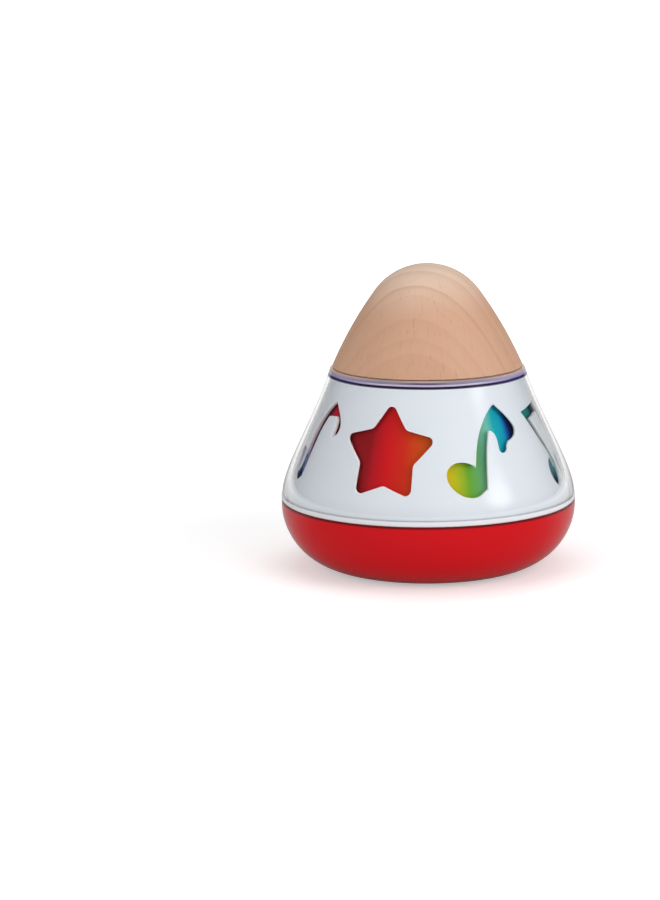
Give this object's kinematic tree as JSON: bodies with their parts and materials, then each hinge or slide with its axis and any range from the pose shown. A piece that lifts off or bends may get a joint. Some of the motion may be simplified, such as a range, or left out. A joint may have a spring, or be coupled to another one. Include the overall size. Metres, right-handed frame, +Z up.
{
  "type": "rotating music box",
  "caption": "Wind-up toy music box: a turned wooden winder and a rainbow drum turn over a red bowl base, inside a clear shell and a white sleeve with star and note cut-outs.",
  "frame": {"origin": "centre of the flat foot, on the table", "axes": "+Z up along the winding axis, -Y towards the viewer, +X to the viewer's right"},
  "size_m": [0.12, 0.12, 0.1239],
  "materials": {
    "red_gloss": "glossy moulded red",
    "white_plastic": "moulded white",
    "clear_plastic": "clear and polished",
    "white_satin": "cool satin white",
    "bearing_plastic": "natural bearing plastic",
    "rainbow_print": "printed rainbow bands",
    "beech": "turned pale beech, satin clear coat",
    "bed_metal": "plated sheet steel",
    "screw_steel": "zinc plated",
    "shaft_steel": "ground",
    "spring_steel": "blued",
    "comb_steel": "ground and tuned",
    "bronze": "turned bearing bronze",
    "brass": "cut brass"
  },
  "bodies": {
    "base": {"base_bowl": "red_gloss", "base_screws": "screw_steel", "chassis_plate": "white_plastic", "clear_shell": "clear_plastic", "white_sleeve": "white_satin", "top_bush": "bearing_plastic", "bed_plate": "bed_metal", "bed_screws": "screw_steel", "arbor_bush": "bronze", "spring_housing": "bed_metal", "housing_screws": "screw_steel", "main_spring": "spring_steel", "cylinder_bushes": "bronze", "comb": "comb_steel", "comb_screws": "screw_steel", "governor_frame": "brass", "governor_bridge": "brass", "governor_screws": "screw_steel"},
    "top": {"wooden_top": "beech", "rainbow_drum": "rainbow_print", "drum_carrier": "white_plastic", "top_screws": "screw_steel", "winding_arbor": "shaft_steel", "arbor_screw": "screw_steel", "crown_wheel": "brass"},
    "cylinder": {"music_cylinder": "brass", "cylinder_shaft": "shaft_steel", "cylinder_pinion": "brass", "cylinder_gear": "brass"},
    "governor": {"governor_arbor": "shaft_steel", "governor_pinion": "brass", "worm_wheel": "bearing_plastic"},
    "fan": {"worm_screw": "shaft_steel", "air_brake": "bearing_plastic"}
  },
  "joints": [
    {"name": "top_wind", "type": "hinge", "parent": "base", "child": "top", "pos_m": [0, 0, 0.082], "axis": [0, 0, -1], "range_deg": [0, 1530], "stiffness_Nm_per_rad": 0.00075},
    {"name": "cylinder_spin", "type": "hinge", "parent": "base", "child": "cylinder", "pos_m": [0.0256, 0, 0.041], "axis": [-1, 0, 0], "range_deg": [0, 5101]},
    {"name": "governor_spin", "type": "hinge", "parent": "base", "child": "governor", "pos_m": [0.0306, 0.01255, 0.041], "axis": [1, 0, 0], "range_deg": [0, 20402]},
    {"name": "fan_spin", "type": "hinge", "parent": "base", "child": "fan", "pos_m": [0.0301, 0.0196, 0.038], "axis": [0, 0, -1], "range_deg": [0, 408010]}
  ],
  "couplings": [
    {"joint": "cylinder_spin", "follows": "top_wind", "ratio": 3.3333},
    {"joint": "governor_spin", "follows": "top_wind", "ratio": 13.333},
    {"joint": "fan_spin", "follows": "top_wind", "ratio": 266.67}
  ]
}
